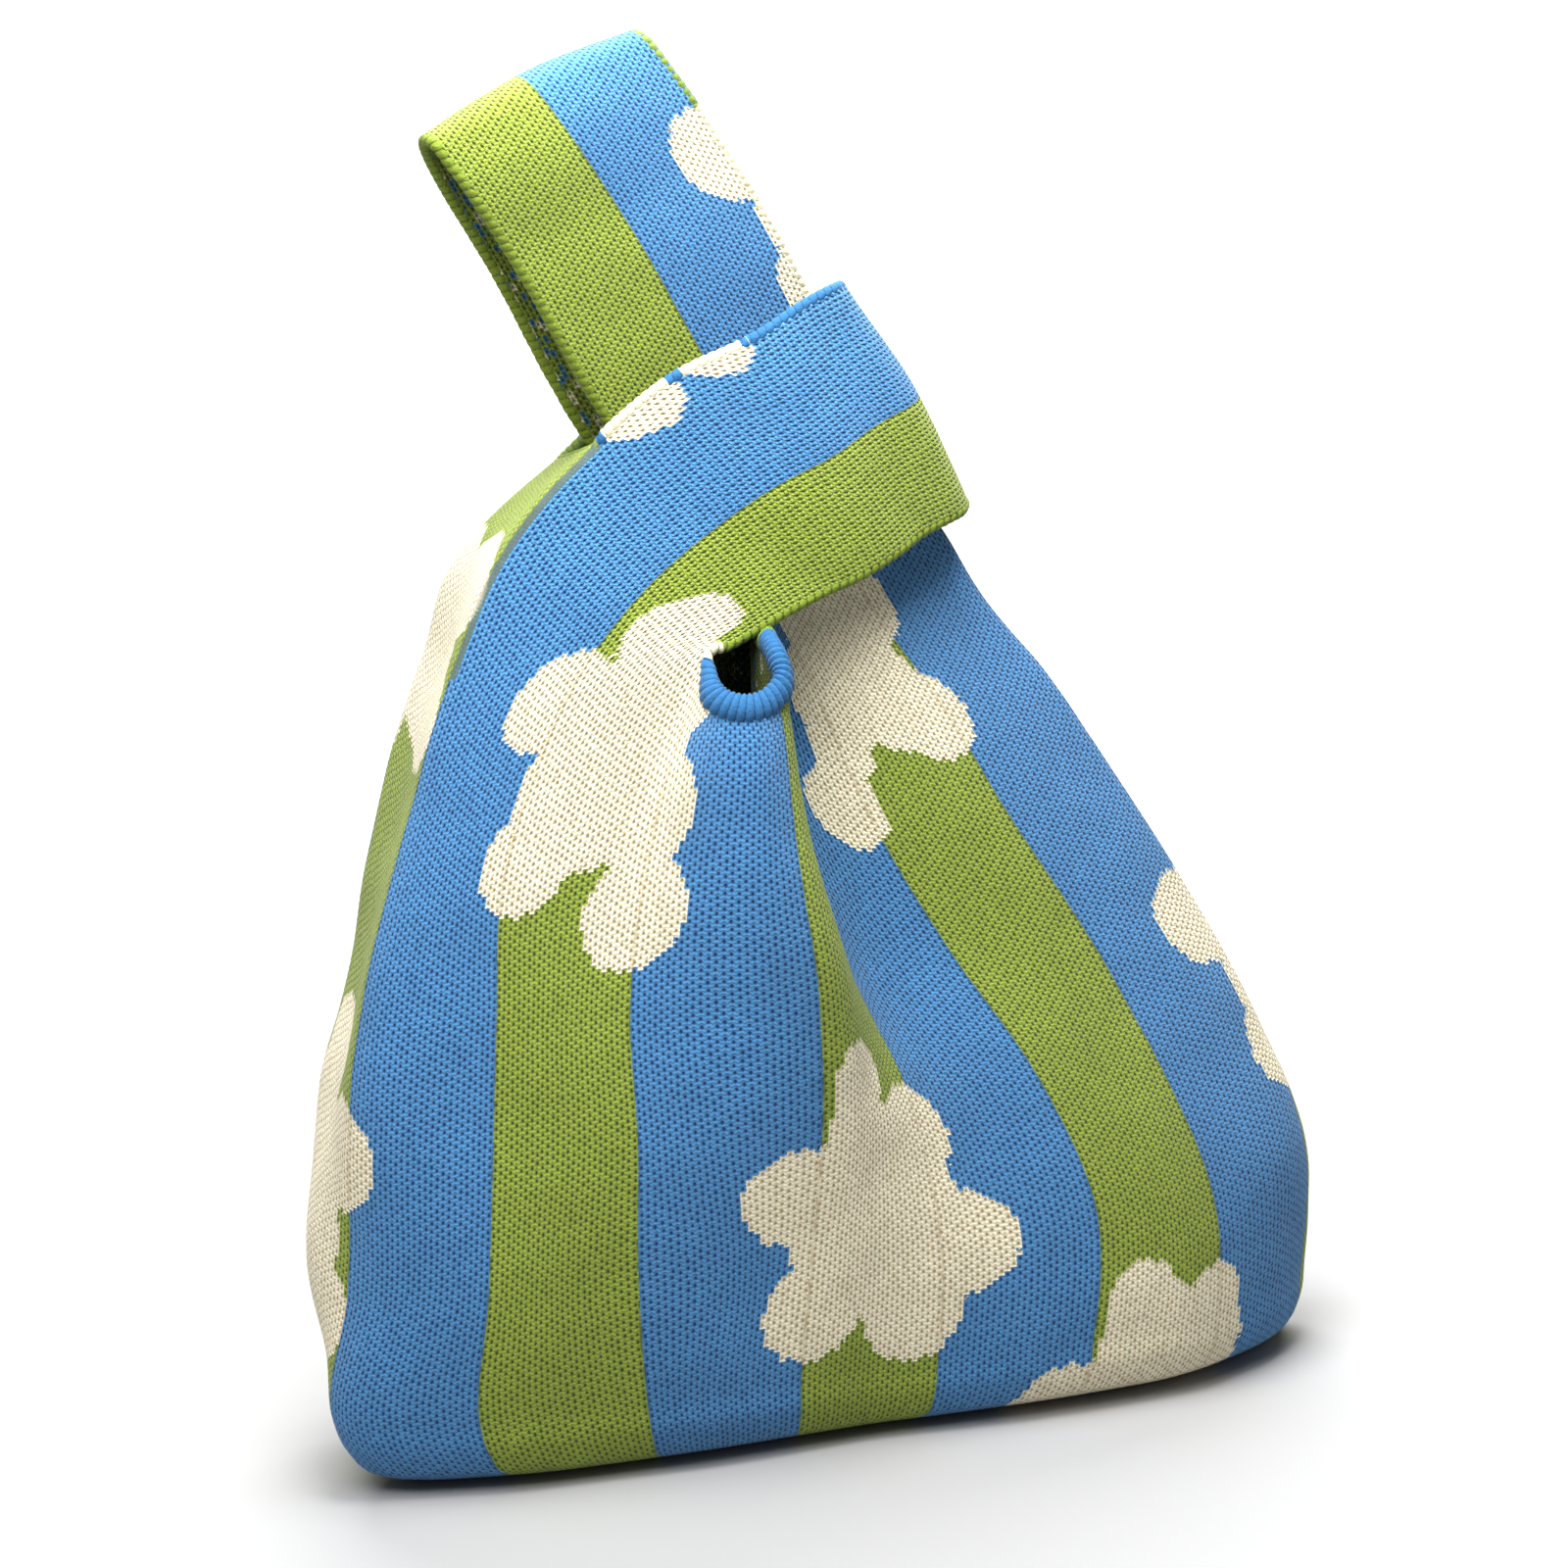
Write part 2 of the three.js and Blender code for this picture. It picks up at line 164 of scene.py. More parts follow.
# The side that the short and the long strap grow from, and the panels in their roots
ROOTS = ((LEFT_SIDE, (6, 7, 0)), (RIGHT_SIDE, (2, 3, 4)))
CLOSE = 1e-6  # places nearer than this are one
ON_FLOOR = 1e-3  # points lower than this lie on the floor

# Soft dents of the slack cloth: the size of each kind, and its height as a share of the setting.
# They fade out towards the floor.
DENTS = ((34, 1), (13, 0.35))
DENTS_FROM = 12

# Rolled edges: the mouth runs from the inner edge of one strap to that of the other, and its
# roll swells over this many wales, eased in passes.
MOUTH_FROM = SHORT_STRAP["wales"][-1]
MOUTH_TO = LONG_STRAP["wales"][-1]
SWELL_WALES = 0.4
SWELL_PASSES = 12
RIM_INSET = (0.5, 0.8)  # how far it lies inside the cloth's edge, and how much more at the mouth
RIM_RISE = 0.5  # how far it stands out at the mouth
RIM_BREADTH = 0.4  # how much broader than high it is there
LOOP_SIZE = (0.88, 0.16, 0.08)  # of its radius: least, more on a loop's crest, unevenness
LOOP_UNEVENNESS = 5  # size of the uneven places
PLEAT_BLUE = (2.02, 0.96)  # the blue stripe that its pleat is knitted from: start, width

# Clouds: each shape is a few round lobes, as (across, up, radius) from the cloud's middle.
CLOUD_SHAPES = dict(
    tall=(
        (-3, 39, 12), (2, 20, 16), (-22, 20, 13), (-14, -19, 13),
        (18, -35, 14), (17, -12, 14), (20, 18, 13), (1, -1, 23),
    ),
    round=(
        (-6, 28, 11), (-6, 16, 12), (16, 13, 12.5), (-24, 3, 12),
        (26, -15, 13), (-17, -27, 13), (11, -30, 14), (0, -5, 26),
    ),
    leaning=(
        (16, 28, 13), (15, -4, 13), (-23, -27, 11), (-13, 2, 14),
        (-17, -12, 9), (-6, 24, 14), (4, 4, 17),
    ),
    small=((9, 11, 9), (11, -10, 10), (-9, 8, 12), (-8, -9, 12)),
)
# The stripe that each cloud lies on, its height up the cloth, its shape, and whether that shape is
# turned over sideways and upside down (-1) or not (1).
CLOUDS = (
    (1.5, 183, "tall", 1, 1),
    (3.5, 72, "round", 1, 1),
    (5.44, 201, "leaning", 1, 1),
    (5.5, 8, "round", 1, 1),
    (5.72, 22, "small", 1, 1),
    (7.42, 104, "tall", 1, 1),
    (7.5, 331, "tall", 1, 1),
    (9.5, 181, "round", -1, 1),
    (9.6, 27, "leaning", 1, -1),
    (11.5, 97, "tall", -1, 1),
    (13.5, 182, "leaning", -1, 1),
    (13.4, 13, "round", 1, -1),
    (15.31, 77, "tall", -1, 1),
    (15.27, 201, "leaning", 1, 1),
    (15.7, 295, "small", 1, 1),
)
FAR = 1000.0  # a distance that is far from any cloud

# Camera and picture: angles in degrees, distance and target in metres
PHOTO = dict(azimuth=-25, elevation=15, distance=1.8, target=(-0.00174, 0.00525, 0.165))
# Lights: name, azimuth and elevation in degrees, distance and diameter in metres, watts, and
# whether it faces straight down
LIGHTS = (
    ("Softbox above", -20, 78, 0.44, 0.3, 4.7, False),
    ("Softbox on the left", -50, 48, 0.8, 0.6, 7, False),
    ("Light on the backdrop", 155, 35, 1.9, 2.0, 100, True),
)
PHOTO_SIZE = 1600
PHOTO_SCALE = 4.4  # pixels in a millimetre at the target
TARGET_PIXEL = (824, 738.7)
SENSOR = 36
FLOOR_REACH = 12  # metres, to each side
ROOM_LIGHT = 0.2


def linear(colour):
    """The linear red, green and blue of an sRGB hex colour."""
    parts = [int(colour[i : i + 2], 16) / 255 for i in (0, 2, 4)]
    return tuple(c / 12.92 if c <= 0.04045 else ((c + 0.055) / 1.055) ** 2.4 for c in parts)


# ---- shape of the cloth ----


def spline(knots, points):
    """A smooth curve through rows of points pinned at the knots, as a function of many places."""
    knots = np.asarray(knots, float)
    points = np.asarray(points, float)
    wide = (-1,) + (1,) * (points.ndim - 1)
    gap = np.diff(knots).reshape(wide)
    chord = np.diff(points, axis=0) / gap
    slope = np.empty_like(points)
    slope[1:-1] = (chord[:-1] * gap[1:] + chord[1:] * gap[:-1]) / (gap[:-1] + gap[1:])
    slope[0] = 1.5 * chord[0] - 0.5 * slope[1]
    slope[-1] = 1.5 * chord[-1] - 0.5 * slope[-2]

    def at(places):
        places = np.atleast_1d(np.asarray(places, float))
        i = np.clip(np.searchsorted(knots, places) - 1, 0, len(knots) - 2)
        s = (places - knots[i]).reshape(wide) / gap[i]
        return (
            points[i] * (2 * s**3 - 3 * s**2 + 1)
            + slope[i] * gap[i] * (s**3 - 2 * s**2 + s)
            + points[i + 1] * (3 * s**2 - 2 * s**3)
            + slope[i + 1] * gap[i] * (s**3 - s**2)
        )

    return at


def divided(values, step):
    """The values, with each gap split evenly so that no part is longer than the step."""
    out = [values[0]]
    for low, high in zip(values, values[1:]):
        parts = max(1, math.ceil((high - low) / step - CLOSE))
        out += [low + (high - low) * k / parts for k in range(1, parts + 1)]
    return np.array(out)


def mirror_of(guide):
    """The guide on the back that lies behind one on the front."""
    return 2 * COUNT - guide


def ring(level, height):
    """The closed section at one level, as 24 guide points."""
    across, depth = level["across"], level["depth"]
    front = np.column_stack([across, depth, np.broadcast_to(height, COUNT)]).astype(float)
    flat = np.minimum(-front[:, 1], PLEAT_FROM)
    pleat = np.maximum(-front[:, 1] - PLEAT_FROM, 0)
    back = front.copy()
    back[:, 1] = BACK_FLATNESS * flat + PLEAT_FLATNESS * pleat
    back[0, 0] += level["tuck"]
    right = (front[-1] + back[-1]) / 2 + (level["right"], 0, 0)
    left = (front[0] + back[0]) / 2 - (level["left"], 0, 0)
    return np.vstack([front, right, back[::-1], left])


def body():
    """Knots, sharpness and rings of the body, floor to mouth."""
    lowest = ring(LEVELS[0], LEVELS[0]["height"])
    knots, sharp, rings = [], [], []
    for height, left, right, depth in LOWER_EDGE:
        width = np.where(lowest[:, 0] < 0, left, right)
        level = np.full(len(lowest), height)
        knots.append(height)
        sharp.append(0)
        rings.append(np.column_stack([lowest[:, 0] * width, lowest[:, 1] * depth, level]))
    for level in LEVELS:
        knots.append(level["height"] + LOWER_EDGE_LENGTH)
        sharp.append(level["sharp"])
        rings.append(ring(level, level["height"]))
    knots.append(MOUTH["knot"])
    sharp.append(1)
    rings.append(ring(MOUTH, MOUTH["height"]))
    return np.array(knots, float), np.array(sharp, float), np.array(rings)


def layer(strap, outer_edge, inner_edge, depths):
    """Outer edge, middle wale and inner edge of one layer of a strap, at each station."""
    first, middle, last = strap["wales"]
    share = (first - middle) / (first - last)
    made = []
    for outer_place, inner_place, (outer_depth, inner_depth) in zip(outer_edge, inner_edge, depths):
        outer = np.array((outer_place[0], outer_depth, outer_place[1]), float)
        inner = np.array((inner_place[0], inner_depth, inner_place[1]), float)
        centre = outer + (inner - outer) * share
        centre[1] += np.sign(outer_depth + inner_depth) * STRAP_CAMBER
        made.append((outer, centre, inner))
    return np.array(made)


def strap_path(strap, body_knots, rings):
    """A strap's three guide wales as one curve: up the front, over the shoulder, down the back."""
    guides = [GUIDES.index(wale) for wale in strap["wales"]]
    behind = [mirror_of(guide) for guide in guides]
    fronts = layer(strap, strap["outer"], strap["inner"], strap["front"])
    backs = layer(strap, strap["back_outer"], strap["back_inner"], strap["back"])
    climbed = np.diff(np.concatenate([rings[-1:, guides], fronts]), axis=0)
    climb = body_knots[-1] + np.cumsum(np.linalg.norm(climbed, axis=2).mean(1))
    turn = math.pi * np.linalg.norm(fronts[-1] - backs[-1], axis=1).mean() / 2
    total = 2 * climb[-1] + turn
    centre = (fronts[-1] + backs[-1]) / 2
    onward = centre - (fronts[-2] + backs[-2]) / 2
    onward /= np.linalg.norm(onward, axis=1)[:, None]
    half = (backs[-1] - fronts[-1]) / 2
    size = np.linalg.norm(half, axis=1)[:, None]
    over = [
        centre + onward * size * math.sin(math.pi * t) - half * math.cos(math.pi * t)
        for t in SHOULDER_TURNS
    ]
    rise = np.concatenate([body_knots, climb])
    knots = np.concatenate([rise, climb[-1] + turn * SHOULDER_TURNS, (total - rise)[::-1]])
    up = np.concatenate([rings[:, guides], fronts])
    down = np.concatenate([rings[:, behind], backs])
    return dict(
        strap,
        guides=guides,
        behind=behind,
        climb=climb,
        total=total,
        knots=knots,
        at=spline(knots, np.concatenate([up, over, down[::-1]])),
        armhole_knot=climb[strap["armhole"]],
    )


def panel(number, points):
    """Wales and points across one panel between two creases, for rows of guide points."""
    guides = range(CREASES[number], CREASES[number + 1] + 1)
    knots = [STRIPES if guide == len(GUIDES) else GUIDES[guide] for guide in guides]
    wales = divided(knots, COLUMN_STEP)
    curve = spline(knots, points[:, [guide % len(GUIDES) for guide in guides]].transpose(1, 0, 2))
    return wales, curve(wales).transpose(1, 0, 2)


def rings_of(points, sharp):
    """Whole rings of the body, eased from one smooth curve to panels creased at their edges."""
    wrap = 3
    order = [*range(-wrap, 0), *range(len(GUIDES)), *range(wrap)]
    before = [wale - STRIPES for wale in GUIDES[-wrap:]]
    after = [wale + STRIPES for wale in GUIDES[:wrap]]
    smooth = spline([*before, *GUIDES, *after], points[:, order].transpose(1, 0, 2))
    wales, creased = zip(*[panel(number, points) for number in range(len(CREASES) - 1)])
    wales = np.concatenate([part[:-1] for part in wales] + [[STRIPES]])
    creased = np.concatenate([part[:, :-1] for part in creased] + [creased[0][:, :1]], axis=1)
    around = smooth(wales).transpose(1, 0, 2)
    return wales, around + (creased - around) * sharp[:, None, None]


def lengths(rows, start):
    """Length of cloth up each column, from its start."""
    steps = np.linalg.norm(np.diff(rows, axis=0), axis=2)
    return start + np.concatenate([np.zeros((1, rows.shape[1])), np.cumsum(steps, axis=0)])


def starts(marks, values, wanted):
    """The values at the wanted wales, where marks are the wales of the values."""
    known = {round(mark % STRIPES, 6): value for mark, value in zip(marks, values)}
    return np.array([known[round(mark % STRIPES, 6)] for mark in wanted])


def cloth_grids():
    """Every part of the cloth's outer face, as rows of points with their wales and lengths."""
    body_knots, sharpness, rings = body()
    straps = [strap_path(strap, body_knots, rings) for strap in (SHORT_STRAP, LONG_STRAP)]
    guide_curve = spline(body_knots, rings)

    def guide_points(knots):
        points = guide_curve(knots)
        for strap in straps:
            points[:, strap["guides"]] = strap["at"](knots)
            points[:, strap["behind"]] = strap["at"](strap["total"] - knots)
        return points

    knots = divided(body_knots, ROW_STEP)
    wales, wall = rings_of(guide_points(knots), np.interp(knots, body_knots, sharpness))
    heights = lengths(wall, 0)
    grids = [(wall, wales, heights)]

    # The floor: front and back meet along one straight seam, as wide as the narrower of them.
    edge = wall[0]
    rightmost = int(np.argmin(abs(wales - GUIDES[RIGHT_SIDE])))
    opposite = edge[(2 * rightmost - np.arange(len(wales))) % (len(wales) - 1), 0]
    seam = np.zeros_like(edge)
    seam[:, 0] = np.where(abs(edge[:, 0]) < abs(opposite), edge[:, 0], opposite) * SEAM_WIDTH
    shares = np.linspace(0, 1, FLOOR_ROWS + 1)
    under = seam + (edge - seam) * shares[:, None, None]
    grids.append((under, wales, np.linalg.norm(edge - seam, axis=1) * (shares[:, None] - 1)))

    for strap, (side, panels) in zip(straps, ROOTS):
        # The root: both layers of the strap and the side between them, up to the armhole.
        climb = [MOUTH["knot"], *strap["climb"][strap["climb"] <= strap["armhole_knot"]]]
        knots = divided(climb, ROW_STEP)
        points = guide_points(knots)
        crease = [strap["guides"][0], mirror_of(strap["guides"][0])]
        bow = rings[-1][side] - rings[-1][crease].mean(0)
        stand = strap["side_bulge"] if side == RIGHT_SIDE else -strap["side_bulge"]
        share = ((knots - knots[0]) / (knots[-1] - knots[0]))[:, None]
        bows = bow + ((stand, 0, 0) - bow) * share
        points[:, side] = points[:, crease].mean(1) + bows
        parts = [panel(number, points) for number in panels]
        marks = np.concatenate([part[0][min(i, 1) :] for i, part in enumerate(parts)])
        rows = np.concatenate([part[1][:, min(i, 1) :] for i, part in enumerate(parts)], axis=1)
        long = lengths(rows, starts(wales, heights[-1], marks))
        grids.append((rows, marks, long))

        # The loop: its front half and its back half meet on the shoulder.
        order = np.argsort(strap["wales"])
        edges = np.array(strap["wales"])[order]
        across = divided(edges, COLUMN_STEP)
        pinned = strap["knots"]
        middle = strap["total"] / 2
        inside = (pinned > strap["armhole_knot"] - CLOSE) & (pinned < middle - CLOSE)
        knots = divided([*pinned[inside], middle], ROW_STEP)
        for places, marks in ((knots, across), (strap["total"] - knots, BACK_LAST - across)):
            guides = strap["at"](places)[:, order].transpose(1, 0, 2)
            loop = spline(edges, guides)(across).transpose(1, 0, 2)
            up = lengths(loop, starts(grids[-1 if marks is across else -2][1], long[-1], marks))
            turned = slice(None) if marks is across else slice(None, None, -1)
            grids.append((loop[:, turned], marks[turned], up[:, turned]))
    return grids


def outer_face():
    """The cloth's outer face: points, faces of four corners, and each corner's wale and length."""
    points, wales, heights, faces = [], [], [], []
    base = 0
    for rows, marks, long in cloth_grids():
        count = rows.shape[0] * rows.shape[1]
        grid = base + np.arange(count).reshape(rows.shape[:2])
        corners = (grid[:-1, :-1], grid[:-1, 1:], grid[1:, 1:], grid[1:, :-1])
        faces.append(np.stack(corners, axis=-1).reshape(-1, 4))
        points.append(rows.reshape(-1, 3))
        wales.append(np.broadcast_to(marks, rows.shape[:2]).ravel())
        heights.append(long.ravel())
        base += count
    points, wales, heights = (np.concatenate(part) for part in (points, wales, heights))
    faces = np.concatenate(faces)
    _, first, same = np.unique(np.round(points, 3), axis=0, return_index=True, return_inverse=True)
    return points[first], same.reshape(-1)[faces], wales[faces], heights[faces]


def face_edges(faces):
    """The points where every edge of the faces starts and ends, in the order of their corners."""
    starts_at = faces.reshape(-1)
    ends_at = np.roll(faces, -1, axis=1).reshape(-1)
    return starts_at, ends_at


def free_edges(faces):
    """Places, among all the faces' corners, where an edge with one face only starts."""
    start, end = face_edges(faces)
    size = faces.max() + 1
    there = start.astype(np.int64) * size + end
    back = end.astype(np.int64) * size + start
    return np.nonzero(~np.isin(there, back))[0]


def eased(points, faces, passes):
    """The points with their creases rounded. Free edges are eased along themselves."""
    start, end = face_edges(faces)
    free = free_edges(faces)
    on_edge = np.zeros(len(points), bool)
    on_edge[start[free]] = True
    lowest = points[:, 2] < ON_FLOOR
    for _ in range(passes):
        total = np.zeros_like(points)
        count = np.zeros(len(points))
        for a, b in ((start, end), (end, start)):
            inner = ~on_edge[a]
            np.add.at(total, a[inner], points[b[inner]])
            np.add.at(count, a[inner], 1)
        for a, b in ((start[free], end[free]), (end[free], start[free])):
            np.add.at(total, a, points[b])
            np.add.at(count, a, 1)
        moved = (points + total / count[:, None]) / 2
        moved[lowest] = points[lowest]
        points = moved
    return points


def normals_of(points, faces, passes=2):
    """Outward normals at the points, eased so that the cloth keeps its thickness at folds."""
    a, b, c, d = (points[faces[:, k]] for k in range(4))
    across = np.cross(c - a, d - b)
    normals = np.zeros_like(points)
    for k in range(4):
        np.add.at(normals, faces[:, k], across)
    normals /= np.linalg.norm(normals, axis=1)[:, None]
    start, end = face_edges(faces)
    for _ in range(passes):
        total = normals.copy()
        np.add.at(total, start, normals[end])
        np.add.at(total, end, normals[start])
        normals = total / np.linalg.norm(total, axis=1)[:, None]
    return normals


def unevenness(points, size, amount):
    """Small smooth dents and swellings, of one size, at the points."""
    return np.array([noise.noise(Vector(point / size)) for point in points]) * amount


def cloud_distance(wales, heights):
    """Distance in mm from places on the cloth to the nearest cloud's edge, below 0 inside it."""
    nearest = np.full(wales.shape, FAR)
    for stripe, up, shape, sideways, upright in CLOUDS:
        aside = (wales - stripe + STRIPES / 2) % STRIPES - STRIPES / 2
        x = aside * STRIPE_WIDTH * sideways
        y = (heights - up) * upright
        for lobe_x, lobe_y, radius in CLOUD_SHAPES[shape]:
            nearest = np.minimum(nearest, np.hypot(x - lobe_x, y - lobe_y) - radius)
    return nearest


def motif_of(wales, heights, plain=None):
    """Distance to the nearest cloud, and how it changes over one wale and one course."""
    half_wale, half_course = 0.5 / WALES, COURSE / 2
    here = cloud_distance(wales, heights)
    right, left = (cloud_distance(wales + aside, heights) for aside in (half_wale, -half_wale))
    above, below = (cloud_distance(wales, heights + up) for up in (half_course, -half_course))
    motif = np.stack([here, right - left, above - below], axis=-1)
    if plain is not None:
        motif[plain] = (FAR, 0, 0)
    return motif


def cloth():
    """The bag's outer face in the frame's millimetres, with its normals."""
    points, faces, wales, heights = outer_face()
    points = eased(points, faces, ROUNDING_PASSES)
    normals = normals_of(points, faces)
    settings = bpy.context.scene.knot_bag
    off_floor = np.clip(points[:, 2] / DENTS_FROM, 0, 1)
    dents = sum(unevenness(points, size, settings.unevenness / MM * share) for size, share in DENTS)
    points = points + normals * (dents * off_floor)[:, None]
    normals = normals_of(points, faces)
    thick = np.concatenate([points, points - normals * settings.thickness / MM])
    low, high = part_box(NODE)
    shift = np.array((low + high) / 2 / MM) - (thick.min(0) + thick.max(0)) / 2
    shift[2] = 0
    return points + shift, normals, faces, wales, heights


def mesh_object(name, points, faces, wales, heights, materials, plain=None, attributes=()):
    """A smooth mesh object of four-cornered faces, with the knitting's own coordinates on it."""
    mesh = bpy.data.meshes.new(name)
    mesh.from_pydata((points * MM).tolist(), [], faces.tolist())
    knit = np.stack([wales * WALES, heights / COURSE], axis=-1)
    places = mesh.uv_layers.new(name="knit")
    places.data.foreach_set("uv", knit.reshape(-1).astype(np.float32))
    motif = motif_of(wales, heights, plain).reshape(-1).astype(np.float32)
    mesh.attributes.new("motif", "FLOAT_VECTOR", "CORNER").data.foreach_set("vector", motif)
    for title, values in attributes:
        made = mesh.attributes.new(title, "FLOAT", "CORNER")
        made.data.foreach_set("value", values.reshape(-1).astype(np.float32))
    for material in materials:
        mesh.materials.append(material)
    mesh.shade_smooth()
    mesh.validate()
    piece = bpy.data.objects.new(name, mesh)
    bpy.context.collection.objects.link(piece)
    return piece


# ---- materials ----

MATHS = "ShaderNodeMath"
RANGE = "ShaderNodeMapRange"
MIX = "ShaderNodeMix"
COLOURS = dict(data_type="RGBA")  # a mix of two colours
TINTED = dict(data_type="RGBA", blend_type="MULTIPLY")  # a colour seen through another
SMOOTH = dict(interpolation_type="SMOOTHSTEP")

# Holes between the strands: half their size as a share of a stitch
HOLE_WIDTH = 0.31 / WALE
HOLE_HEIGHT = 0.58 / COURSE
HOLE_ASIDE = 0.1  # how far a hole may lie from the middle of its stitch, in stitches
HOLE_RAISED = 0.09
HOLE_SIZES = (0.9, 1.25)  # distances from a hole count for this much, so it is wider or narrower
HOLE_EDGE = (0.5, 1.5)  # bottom and rim of a hole, in half holes from its middle
YARN_EDGE = (0.4, 2.1)  # and where the yarn starts to rise and is at its full height
BORDER = (0.1, 0.55, 0.8)  # wales from a stripe's border: darkest, last dark place, how dark the painted shade in the gap is
CROSSING = 0.5  # how dark with painted shade and how deep the line between two loops of a strand is, against a hole
CROSSING_EDGE = (0.04, 0.24)  # that line's middle and edge, in stitches

# Unevenness of the yarn and the floor
STITCH_SHADES = (0.92, 1.06)  # darkest and palest stitch
PATCH = 20  # mm across a soft patch
PATCH_SHADES = (0.95, 1.04)
FIBRES = 1.4  # tufts of fibre in a mm of the rolled edge, coarser than real ones, to show
FIBRE_SHADES = (0.86, 1.06)
GRAIN = 0.9  # fibres of the paper in a mm, coarser than real ones
NOISE_RANGE = (0.3, 0.7)  # most of what Blender's noise gives
SPECKS = (0.1, 0.78)  # on the wrong side, stitches below are cream and those above are blue
GAP = (0.05, 0.5)  # heights between two loops of a rolled edge that lie in the dark
# Painted shade on each yarn's colour: in the hollows of the face, all over the face's wrong side,
# which lies inside the bag and the loops, and as the yarn turns away from the light in a rolled
# edge
HOLLOW_SHADE = dict(blue="386990", green="697645", cream="b3a081")
INSIDE_SHADE, INSIDE_HOLLOW_SHADE = "cbcbbc", "89957c"
TURNED = dict(blue="95b1bc", green="bfc4aa", cream="e2ddce")
TURNED_HOLLOWS = "81959e"
# Relief in mm, roughness and sheen
FINISHES = dict(
    face=(0.45, 0.92, 0.15),
    reverse=(0.5, 0.95, 0.1),
    rolled=(0.25, 0.92, 0.1),
    paper=(0.02, 0.9, 0.0),
)


def add(tree, kind, *values, sockets=(), **settings):
    """A node with its settings. values go to the inputs in use, sockets to inputs by name."""
    made = tree.nodes.new(kind)
    for key, value in settings.items():
        setattr(made, key, value)
    in_use = [socket for socket in made.inputs if socket.enabled]
    named = [(made.inputs[name], value) for name, value in dict(sockets).items()]
    for socket, value in [*zip(in_use, values), *named]:
        if isinstance(value, bpy.types.Node):
            value = next(output for output in value.outputs if output.enabled)
        if isinstance(value, bpy.types.NodeSocket):
            tree.links.new(value, socket)
        else:
            socket.default_value = value
    return made


def opaque(colour):
    """A colour as a socket takes it, from sRGB hex or from a setting."""
    return (*(linear(colour) if isinstance(colour, str) else colour), 1)


def new_material(name, colour):
    """An empty material with its colour for the solid view."""
    material = bpy.data.materials.new(name)
    material.use_nodes = True
    material.diffuse_color = (*colour, 1)
    material.node_tree.nodes.clear()
    return material


def stitches(tree):
    """Where a point lies in its stitch, a, b, and what that stitch is knitted from."""
    place = add(tree, "ShaderNodeSeparateXYZ", add(tree, "ShaderNodeUVMap", uv_map="knit"))
    x, y = place.outputs[0], place.outputs[1]
    wale = add(tree, MATHS, x, operation="FLOOR")
    odd = add(tree, MATHS, wale, 2.0, operation="FLOORED_MODULO")
    # Neighbouring wales are half a stitch apart, as in an interlock knit.
    raised = add(tree, MATHS, odd, 0.5, y, operation="MULTIPLY_ADD")
    course = add(tree, MATHS, raised, operation="FLOOR")
    a = add(tree, MATHS, x, wale, operation="SUBTRACT")
    a = add(tree, MATHS, a, 0.5, operation="SUBTRACT")
    b = add(tree, MATHS, raised, course, operation="SUBTRACT")
    b = add(tree, MATHS, b, 0.5, operation="SUBTRACT")
    number = add(tree, "ShaderNodeCombineXYZ", wale, course, 0.0)
    chance = add(tree, "ShaderNodeTexWhiteNoise", number, noise_dimensions="3D")
    # A stitch is cream where its own middle lies inside a cloud.
    motif = add(tree, "ShaderNodeAttribute", attribute_name="motif")
    cloud = add(tree, "ShaderNodeSeparateXYZ", motif.outputs["Vector"])
    beside = add(tree, MATHS, a, cloud.outputs[1], operation="MULTIPLY")
    above = add(tree, MATHS, b, cloud.outputs[2], operation="MULTIPLY")
    middle = add(tree, MATHS, cloud.outputs[0], beside, operation="SUBTRACT")
    middle = add(tree, MATHS, middle, above, operation="SUBTRACT")
    cream = add(tree, MATHS, middle, 0.0, operation="LESS_THAN")
    stripe = add(tree, MATHS, x, float(WALES), operation="DIVIDE")
    stripe = add(tree, MATHS, stripe, operation="FLOOR")
    green = add(tree, MATHS, stripe, 2.0, operation="FLOORED_MODULO")
    # Between two stripes the stitches of both draw back from each other.
    border = add(tree, MATHS, x, WALES / 2, operation="PINGPONG")
    return dict(a=a, b=b, chance=chance.outputs["Color"], cream=cream, green=green, border=border)


